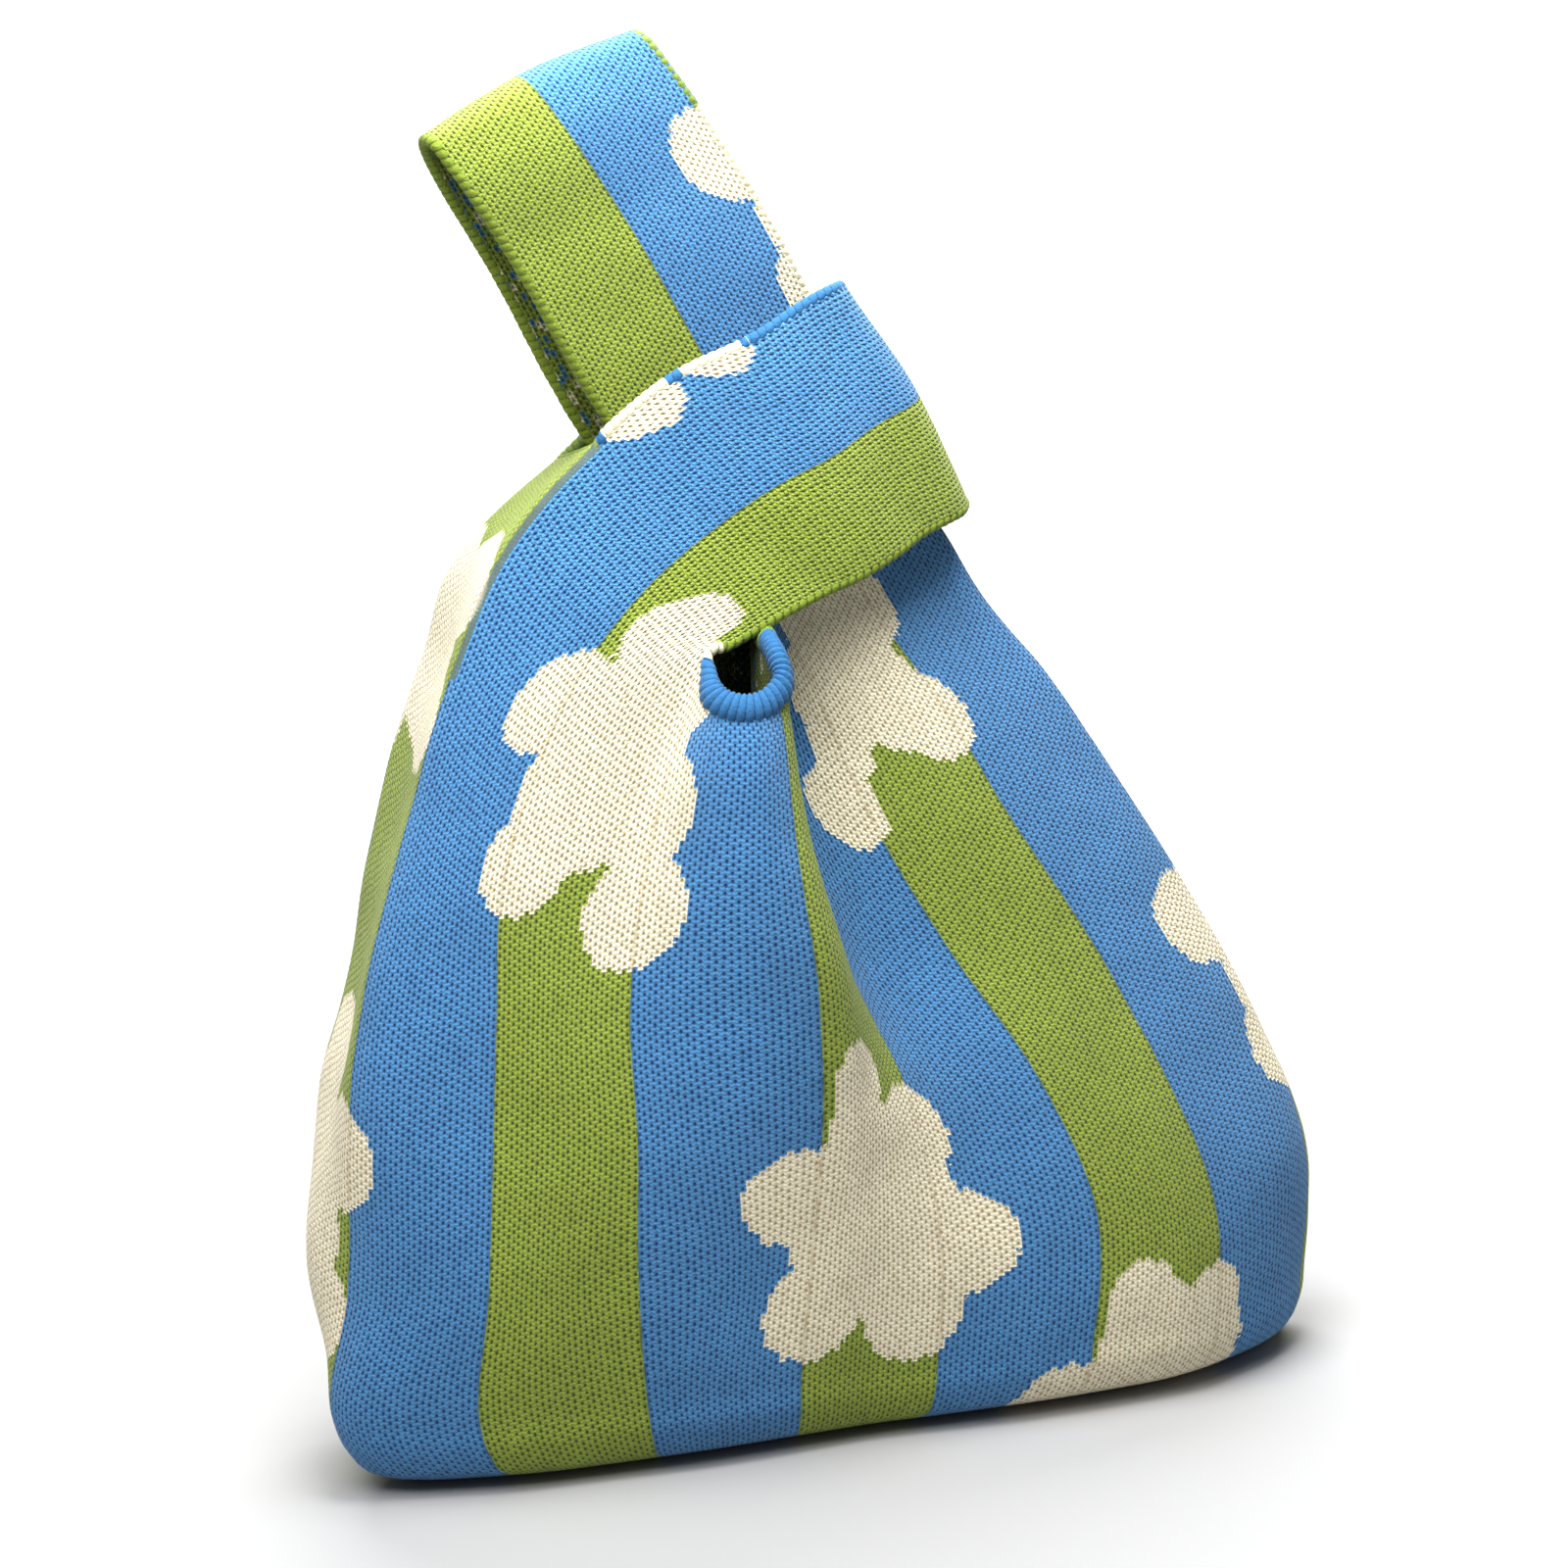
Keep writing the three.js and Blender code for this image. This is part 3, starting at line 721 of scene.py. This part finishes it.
def knit_relief(tree, place):
    """(how deep in the hole of a stitch a point is, height of the yarn), both from 0 to 1."""
    chance = add(tree, "ShaderNodeSeparateXYZ", place["chance"])
    # No two stitches are quite alike: their holes lie a little aside, and are wider or narrower.
    aside = add(tree, RANGE, chance.outputs[0], 0.0, 1.0, -HOLE_ASIDE, HOLE_ASIDE)
    upward = add(tree, RANGE, chance.outputs[1], 0.0, 1.0, -HOLE_RAISED, HOLE_RAISED)
    size = add(tree, RANGE, chance.outputs[2], 0.0, 1.0, *HOLE_SIZES)
    across = add(tree, MATHS, place["a"], aside, operation="ADD")
    up = add(tree, MATHS, place["b"], upward, operation="ADD")
    wide = add(tree, MATHS, across, 1 / HOLE_WIDTH, operation="MULTIPLY")
    tall = add(tree, MATHS, up, 1 / HOLE_HEIGHT, operation="MULTIPLY")
    from_hole = add(tree, "ShaderNodeCombineXYZ", wide, tall, 0.0)
    away = add(tree, "ShaderNodeVectorMath", from_hole, operation="LENGTH")
    away = add(tree, MATHS, away, size, operation="MULTIPLY")
    hole = add(tree, RANGE, away, *HOLE_EDGE, 1.0, 0.0, **SMOOTH)
    height = add(tree, RANGE, away, *YARN_EDGE, 0.0, 1.0, **SMOOTH)
    # Where the stitches of two stripes draw back, dots of painted shade mark the gap.
    drawn = add(tree, RANGE, place["border"], *BORDER, 0.0, **SMOOTH)
    dotted = add(tree, MATHS, drawn, chance.outputs[0], operation="MULTIPLY")
    hole = add(tree, MATHS, hole, dotted, operation="MAXIMUM")
    # The legs of each stitch cross slantwise, so every strand is a row of short plump loops.
    slant = add(tree, MATHS, place["a"], operation="ABSOLUTE")
    leg = add(tree, MATHS, up, 2.0, slant, operation="MULTIPLY_ADD")
    leg = add(tree, MATHS, leg, 0.5, operation="PINGPONG")
    crossing = add(tree, RANGE, leg, *CROSSING_EDGE, 1.0, 0.0, **SMOOTH)
    crossing = add(tree, MATHS, crossing, CROSSING, operation="MULTIPLY")
    # The line between two loops is darkened with painted shade, as a hole is, and lies lower.
    hole = add(tree, MATHS, hole, crossing, operation="MAXIMUM")
    height = add(tree, MATHS, height, crossing, operation="SUBTRACT")
    return hole, height


def yarn_of(tree, place, blue, green, cream):
    """One of three colours, by what the stitch is knitted from."""
    stripes = add(tree, MIX, place["green"], opaque(blue), opaque(green), **COLOURS)
    return add(tree, MIX, place["cream"], stripes, opaque(cream), **COLOURS)


def finished(tree, colour, height, finish):
    """The relief, the shader of plant fibre and the output."""
    relief, roughness, sheen = FINISHES[finish]
    lift = {"Height": height, "Strength": 1.0, "Distance": relief * MM}
    bump = add(tree, "ShaderNodeBump", sockets=lift)
    shader = add(
        tree,
        "ShaderNodeBsdfPrincipled",
        sockets={
            "Base Color": colour,
            "Roughness": roughness,
            "IOR": 1.5,
            "Specular IOR Level": 0.25,
            "Sheen Weight": sheen,
            "Sheen Roughness": 0.45,
            "Normal": bump,
        },
    )
    add(tree, "ShaderNodeOutputMaterial", shader)


def knit_face():
    """Cotton interlock knit, the right side: matt, plump strands round small holes of painted
    shade.
    """
    settings = bpy.context.scene.knot_bag
    material = new_material("Cotton interlock knit, right side", settings.blue)
    tree = material.node_tree
    place = stitches(tree)
    hole, height = knit_relief(tree, place)
    yarn = yarn_of(tree, place, settings.blue, settings.green, settings.cream)
    # Yarn is never quite even: stitch by stitch, and in soft patches some 20 mm wide.
    grey = add(tree, RANGE, place["chance"], 0.0, 1.0, *STITCH_SHADES)
    where = add(tree, "ShaderNodeTexCoord").outputs["Object"]
    pattern = {"Vector": where, "Scale": 1 / (PATCH * MM), "Detail": 2.0}
    patches = add(tree, "ShaderNodeTexNoise", sockets=pattern)
    patch = add(tree, RANGE, patches, *NOISE_RANGE, *PATCH_SHADES)
    shade = add(tree, MATHS, grey, patch, operation="MULTIPLY")
    # Painted shade: the yarn's hollows are darker and deeper in colour, as shade falls in them.
    # Cream yarn shows them least.
    shaded_hollow = add(tree, MIX, 1.0, yarn, yarn_of(tree, place, **HOLLOW_SHADE), **TINTED)
    colour = add(tree, MIX, hole, yarn, shaded_hollow, **COLOURS)
    lit = add(tree, "ShaderNodeVectorMath", colour, operation="SCALE", sockets={"Scale": shade})
    finished(tree, lit, height, "face")
    return material


def knit_reverse():
    """The same knit's wrong side, speckled by floats of both yarns and darkened by painted shade.
    """
    settings = bpy.context.scene.knot_bag
    material = new_material("Cotton interlock knit, wrong side", settings.green)
    tree = material.node_tree
    place = stitches(tree)
    hole, height = knit_relief(tree, place)
    # The face's floats lie behind it: green yarn nearly everywhere, with blue and cream specks.
    chance = add(tree, "ShaderNodeSeparateXYZ", place["chance"])
    blue = add(tree, MATHS, chance.outputs[1], SPECKS[1], operation="GREATER_THAN")
    cream = add(tree, MATHS, chance.outputs[1], SPECKS[0], operation="LESS_THAN")
    yarn = add(tree, MIX, blue, opaque(settings.green), opaque(settings.blue), **COLOURS)
    yarn = add(tree, MIX, cream, yarn, opaque(settings.cream), **COLOURS)
    # Painted shade: the wrong side lies inside the bag and the loops, so it is darkened all over,
    # and more in its hollows.
    shaded_inside = add(tree, MIX, 1.0, yarn, opaque(INSIDE_SHADE), **TINTED)
    dark = add(tree, MIX, 1.0, shaded_inside, opaque(INSIDE_HOLLOW_SHADE), **TINTED)
    colour = add(tree, MIX, hole, shaded_inside, dark, **COLOURS)
    finished(tree, colour, height, "reverse")
    return material


def rolled_knit():
    """The same yarn in a rolled, cast-off edge: round loops side by side with dark gaps between."""
    settings = bpy.context.scene.knot_bag
    material = new_material("Cotton knit, rolled edge", settings.blue)
    tree = material.node_tree
    place = stitches(tree)
    yarn = yarn_of(tree, place, settings.blue, settings.green, settings.cream)
    crest = add(tree, "ShaderNodeAttribute", attribute_name="crest").outputs["Fac"]
    gap = add(tree, RANGE, crest, *GAP, 1.0, 0.0, **SMOOTH)
    where = add(tree, "ShaderNodeTexCoord").outputs["Object"]
    pattern = {"Vector": where, "Scale": FIBRES / MM, "Detail": 2.0}
    fibres = add(tree, "ShaderNodeTexNoise", sockets=pattern)
    shade = add(tree, RANGE, fibres, *NOISE_RANGE, *FIBRE_SHADES)
    # The yarn turns away from the light as it rolls over, so it looks deeper than in the face.
    turned = add(tree, MIX, 1.0, yarn, yarn_of(tree, place, **TURNED), **TINTED)
    shaded_hollow = add(tree, MIX, 1.0, turned, opaque(TURNED_HOLLOWS), **TINTED)
    colour = add(tree, MIX, gap, turned, shaded_hollow, **COLOURS)
    lit = add(tree, "ShaderNodeVectorMath", colour, operation="SCALE", sockets={"Scale": shade})
    finished(tree, lit, fibres, "rolled")
    return material


def paper_backdrop(colour):
    """A roll of uncoated, mid-pale paper: matt and even. The studio's light turns it white."""
    material = new_material("Matt paper backdrop", colour)
    tree = material.node_tree
    where = add(tree, "ShaderNodeTexCoord").outputs["Object"]
    grain = add(tree, "ShaderNodeTexNoise", sockets={"Vector": where, "Scale": GRAIN / MM})
    finished(tree, opaque(colour), grain, "paper")
    return material


# ---- settings, operators and panel ----


LENGTH = dict(subtype="DISTANCE", unit="LENGTH")
COLOUR = dict(size=3, subtype="COLOR", min=0, max=1)


class KnotBagSettings(bpy.types.PropertyGroup):
    """Sizes and colours of the bag and the stage"""

    thickness: bpy.props.FloatProperty(
        name="Cloth",
        description="Thickness of the knit",
        default=2.4 * MM, min=1 * MM, max=3 * MM, **LENGTH,
    )
    unevenness: bpy.props.FloatProperty(
        name="Unevenness",
        description="Height of the soft dents in the cloth",
        default=0.8 * MM, min=0, max=2 * MM, **LENGTH,
    )
    rim: bpy.props.FloatProperty(
        name="Strap edge",
        description="Radius of the rolled edge along the straps",
        default=1.4 * MM, min=1.2 * MM, max=3 * MM, **LENGTH,
    )
    mouth_rim: bpy.props.FloatProperty(
        name="Mouth edge",
        description="Radius of the rolled edge round the mouth",
        default=2.4 * MM, min=1.2 * MM, max=4 * MM, **LENGTH,
    )
    blue: bpy.props.FloatVectorProperty(
        name="Blue yarn",
        description="Colour of the even stripes",
        default=linear("5090c7"), **COLOUR,
    )
    green: bpy.props.FloatVectorProperty(
        name="Green yarn",
        description="Colour of the odd stripes",
        default=linear("98ab40"), **COLOUR,
    )
    cream: bpy.props.FloatVectorProperty(
        name="Cream yarn",
        description="Colour of the clouds",
        default=linear("fcf5d9"), **COLOUR,
    )
    floor: bpy.props.FloatVectorProperty(
        name="Floor",
        description="Colour of the stage's floor",
        default=linear("a4a4a4"), **COLOUR,
    )


class KNOTBAG_OT_cloth(bpy.types.Operator):
    """Knit the bag's one cloth: body, floor and both straps"""

    bl_idname = "knot_bag.cloth"
    bl_label = "Cloth"

    def execute(self, context):
        thickness = context.scene.knot_bag.thickness / MM
        points, normals, faces, wales, heights = cloth()
        count = len(points)
        # The inner face lies behind the outer one, and a strip joins them at every free edge.
        inner = points - normals * thickness
        inner[:, 2] = np.maximum(inner[:, 2], 0)
        inside = np.concatenate([points, inner])
        start, end = face_edges(faces)
        free = free_edges(faces)
        corner = free // 4 * 4 + (free + 1) % 4
        a, b = start[free], end[free]
        strips = np.stack([b, a, a + count, b + count], axis=-1)

        def joined(values):
            """Values of the outer face's corners, carried over to the inner face and the strips."""
            here, there = values.reshape(-1)[free], values.reshape(-1)[corner]
            strip = np.stack([there, here, here, there], axis=-1)
            return np.concatenate([values, values[:, ::-1], strip])

        all_faces = np.concatenate([faces, faces[:, ::-1] + count, strips])
        materials = [knit_face(), knit_reverse()]
        piece = mesh_object(
            "bag_cloth", inside, all_faces, joined(wales), joined(heights), materials
        )
        sides = np.zeros(len(all_faces), np.int32)
        sides[len(faces) : 2 * len(faces)] = 1
        piece.data.polygons.foreach_set("material_index", sides)
        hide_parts(NODE)
        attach(piece, "root")
        return {"FINISHED"}


class KNOTBAG_OT_edges(bpy.types.Operator):
    """Roll the cloth's free edges: round the neck and round both armholes"""

    bl_idname = "knot_bag.edges"
    bl_label = "Rolled edges"

    def execute(self, context):
        points, normals, faces, wales, heights = cloth()
        start, end = face_edges(faces)
        free = free_edges(faces)
        after = dict(zip(start[free].tolist(), free.tolist()))
        parts = []
        while after:
            corner = after.pop(next(iter(after)))
            loop = [corner]
            while end[corner] in after:
                corner = after.pop(end[corner])
                loop.append(corner)
            parts.append(rolled_edge(np.array(loop), points, normals, start, wales, heights))
        base, made = 0, []
        for ring_points, ring_faces, *corners in parts:
            made.append((ring_points, ring_faces + base, *corners))
            base += len(ring_points)
        ring_points, ring_faces, rim_wales, rim_heights, plain, crest = (
            np.concatenate(values) for values in zip(*made)
        )
        piece = mesh_object(
            "rolled_edges", ring_points, ring_faces, rim_wales, rim_heights, [rolled_knit()], plain,
            [("crest", crest)],
        )
        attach(piece, "root")
        return {"FINISHED"}


def rolled_edge(loop, points, normals, start, wales, heights):
    """A tube of looped stitches along one closed free edge of the cloth."""
    settings = bpy.context.scene.knot_bag
    on = start[loop]
    edge_points, edge_normals = points[on], normals[on]
    next_corner = loop // 4 * 4 + (loop + 1) % 4
    shares = np.arange(RIM_STEPS) / RIM_STEPS

    def between(values):
        """Catmull-Rom values at every step round the loop."""
        before, beyond, last = (np.roll(values, k, axis=0) for k in (1, -1, -2))
        s = shares[None, :, None]
        made = 0.5 * (
            2 * values[:, None]
            + (beyond - before)[:, None] * s
            + (2 * before - 5 * values + 4 * beyond - last)[:, None] * s**2
            + (3 * values - before - 3 * beyond + last)[:, None] * s**3
        )
        return made.reshape(-1, values.shape[1])

    path = between(edge_points)
    up = between(edge_normals)
    along = np.roll(path, -1, axis=0) - np.roll(path, 1, axis=0)
    along /= np.linalg.norm(along, axis=1)[:, None]
    up -= along * np.sum(up * along, axis=1)[:, None]
    up /= np.linalg.norm(up, axis=1)[:, None]
    out = np.cross(along, up)

    # Round the mouth the edge rolls over thicker than along the straps.
    wale_here = wales.reshape(-1)[loop]
    front = np.minimum(wale_here, BACK_LAST - wale_here)
    swell = np.clip((front - MOUTH_FROM) / SWELL_WALES, 0, 1)
    swell *= np.clip((MOUTH_TO - front) / SWELL_WALES, 0, 1)
    swell = np.repeat(swell, RIM_STEPS)
    for _ in range(SWELL_PASSES):
        swell = (np.roll(swell, 1) + 2 * swell + np.roll(swell, -1)) / 4
    radius = (settings.rim + (settings.mouth_rim - settings.rim) * swell) / MM
    centre = path - up * (settings.thickness / MM / 2 - RIM_RISE * swell)[:, None]
    centre -= out * (RIM_INSET[0] + RIM_INSET[1] * swell)[:, None]
    breadth = 1 + RIM_BREADTH * swell[:, None]

    # A strap ends on a wale, so its edge shows courses. The mouth ends on a course: wales show.
    steps = np.linalg.norm(np.roll(path, -1, axis=0) - path, axis=1)
    pitch = EDGE_STITCH + (RIM_WALE - EDGE_STITCH) * swell
    turns = np.concatenate([[0], np.cumsum(steps / pitch)])
    phase = 2 * math.pi * round(turns[-1]) * turns[:-1] / turns[-1]
    angles = 2 * math.pi * np.arange(RIM_SIDES) / RIM_SIDES
    crest = abs(np.cos((phase[:, None] + angles[None, :]) / 2))
    wobble = unevenness(path, LOOP_UNEVENNESS, LOOP_SIZE[2])
    size = radius[:, None] * (LOOP_SIZE[0] + LOOP_SIZE[1] * crest + wobble[:, None])
    tube = (
        centre[:, None]
        + size[:, :, None] * np.cos(angles)[None, :, None] * up[:, None]
        + (size * breadth)[:, :, None] * np.sin(angles)[None, :, None] * out[:, None]
    )
    rings_round, sides = size.shape
    ids = np.arange(rings_round * sides).reshape(rings_round, sides)
    beside, following = np.roll(ids, -1, axis=1), np.roll(ids, -1, axis=0)
    faces = np.stack([ids, beside, np.roll(following, -1, axis=1), following], axis=-1)

    low, high = PLEAT_EDGE
    blue = (front > low) & (front < high)

    def in_blue(wale):
        """The wale that a place on the pleat's edge is coloured by, and others as they are."""
        share = (np.minimum(wale, BACK_LAST - wale) - low) / (high - low)
        return np.where(blue[:, None], PLEAT_BLUE[0] + share * PLEAT_BLUE[1], wale)

    def on_corners(values):
        """Values of the cloth's edge on the corners of the tube's faces."""
        here, there = (values.reshape(-1)[corners][:, None] for corners in (loop, next_corner))
        if values is wales:
            here, there = in_blue(here), in_blue(there)
        first = (here + (there - here) * shares).reshape(-1)
        second = (here + (there - here) * (shares + 1 / RIM_STEPS)).reshape(-1)
        both = np.stack([first, first, second, second], axis=-1)
        return np.repeat(both, sides, axis=0)

    return (
        tube.reshape(-1, 3),
        faces.reshape(-1, 4),
        on_corners(wales),
        on_corners(heights),
        np.repeat(blue, RIM_STEPS * sides),
        crest.reshape(-1)[faces.reshape(-1, 4)],
    )


class KNOTBAG_OT_stage(bpy.types.Operator):
    """Set the pale floor, the soft light and the camera at the photograph's angle"""

    bl_idname = "knot_bag.stage"
    bl_label = "Stage"

    def execute(self, context):
        scene = context.scene
        settings = scene.knot_bag
        mesh = bpy.data.meshes.new("floor")
        sides = ((-1, -1), (1, -1), (1, 1), (-1, 1))
        corners = [(x * FLOOR_REACH, y * FLOOR_REACH, 0) for x, y in sides]
        mesh.from_pydata(corners, [], [(0, 1, 2, 3)])
        floor = bpy.data.objects.new("floor", mesh)
        mesh.materials.append(paper_backdrop(settings.floor))
        context.collection.objects.link(floor)

        world = bpy.data.worlds.new("Soft white studio")
        world.use_nodes = True
        world.node_tree.nodes.clear()
        sky = add(world.node_tree, "ShaderNodeBackground", opaque("ffffff"), ROOM_LIGHT)
        add(world.node_tree, "ShaderNodeOutputWorld", sky)
        scene.world = world

        for name, azimuth, elevation, distance, size, power, down in LIGHTS:
            light = bpy.data.lights.new(name, "AREA")
            light.shape = "DISK"
            light.size = size
            light.energy = power
            lamp = bpy.data.objects.new(name, light)
            towards = direction(azimuth, elevation)
            lamp.location = Vector(PHOTO["target"]) + towards * distance
            faces_from = Vector((0, 0, 1)) if down else towards
            lamp.rotation_euler = faces_from.to_track_quat("Z", "Y").to_euler()
            context.collection.objects.link(lamp)

        camera = bpy.data.cameras.new("Photograph")
        camera.sensor_width = SENSOR
        across = PHOTO_SIZE / PHOTO_SCALE * MM
        camera.lens = SENSOR * PHOTO["distance"] / across
        camera.shift_x = -(TARGET_PIXEL[0] / PHOTO_SIZE - 0.5)
        camera.shift_y = TARGET_PIXEL[1] / PHOTO_SIZE - 0.5
        camera.clip_end = 100
        viewer = bpy.data.objects.new("Photograph", camera)
        towards = direction(PHOTO["azimuth"], PHOTO["elevation"])
        viewer.location = Vector(PHOTO["target"]) + towards * PHOTO["distance"]
        viewer.rotation_euler = towards.to_track_quat("Z", "Y").to_euler()
        context.collection.objects.link(viewer)
        scene.camera = viewer
        scene.view_settings.view_transform = "Standard"
        return {"FINISHED"}


def direction(azimuth, elevation):
    """From the object towards a viewer or a light: azimuth 0 is in front, 90 to the right."""
    a, e = math.radians(azimuth), math.radians(elevation)
    return Vector((math.sin(a) * math.cos(e), -math.cos(a) * math.cos(e), math.sin(e)))


class KNOTBAG_PT_panel(bpy.types.Panel):
    """The bag's settings, and a button for each piece and the stage"""

    bl_idname = "KNOTBAG_PT_panel"
    bl_label = "Knot bag"
    bl_space_type = "VIEW_3D"
    bl_region_type = "UI"
    bl_category = "Knot bag"

    def draw(self, context):
        settings = context.scene.knot_bag
        for name in KnotBagSettings.__annotations__:
            self.layout.prop(settings, name)
        for operator in OPERATORS:
            self.layout.operator(operator.bl_idname)


OPERATORS = (KNOTBAG_OT_cloth, KNOTBAG_OT_edges, KNOTBAG_OT_stage)
CLASSES = (KnotBagSettings, *OPERATORS, KNOTBAG_PT_panel)


def register():
    """Make the settings, the operators and the panel known to Blender."""
    for made in CLASSES:
        bpy.utils.register_class(made)
    bpy.types.Scene.knot_bag = bpy.props.PointerProperty(type=KnotBagSettings)


def unregister():
    """Take them out again."""
    del bpy.types.Scene.knot_bag
    for made in reversed(CLASSES):
        bpy.utils.unregister_class(made)


def main():
    """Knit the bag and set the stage."""
    register()
    bpy.ops.knot_bag.cloth()
    bpy.ops.knot_bag.edges()
    bpy.ops.knot_bag.stage()


if __name__ == "__main__":
    main()
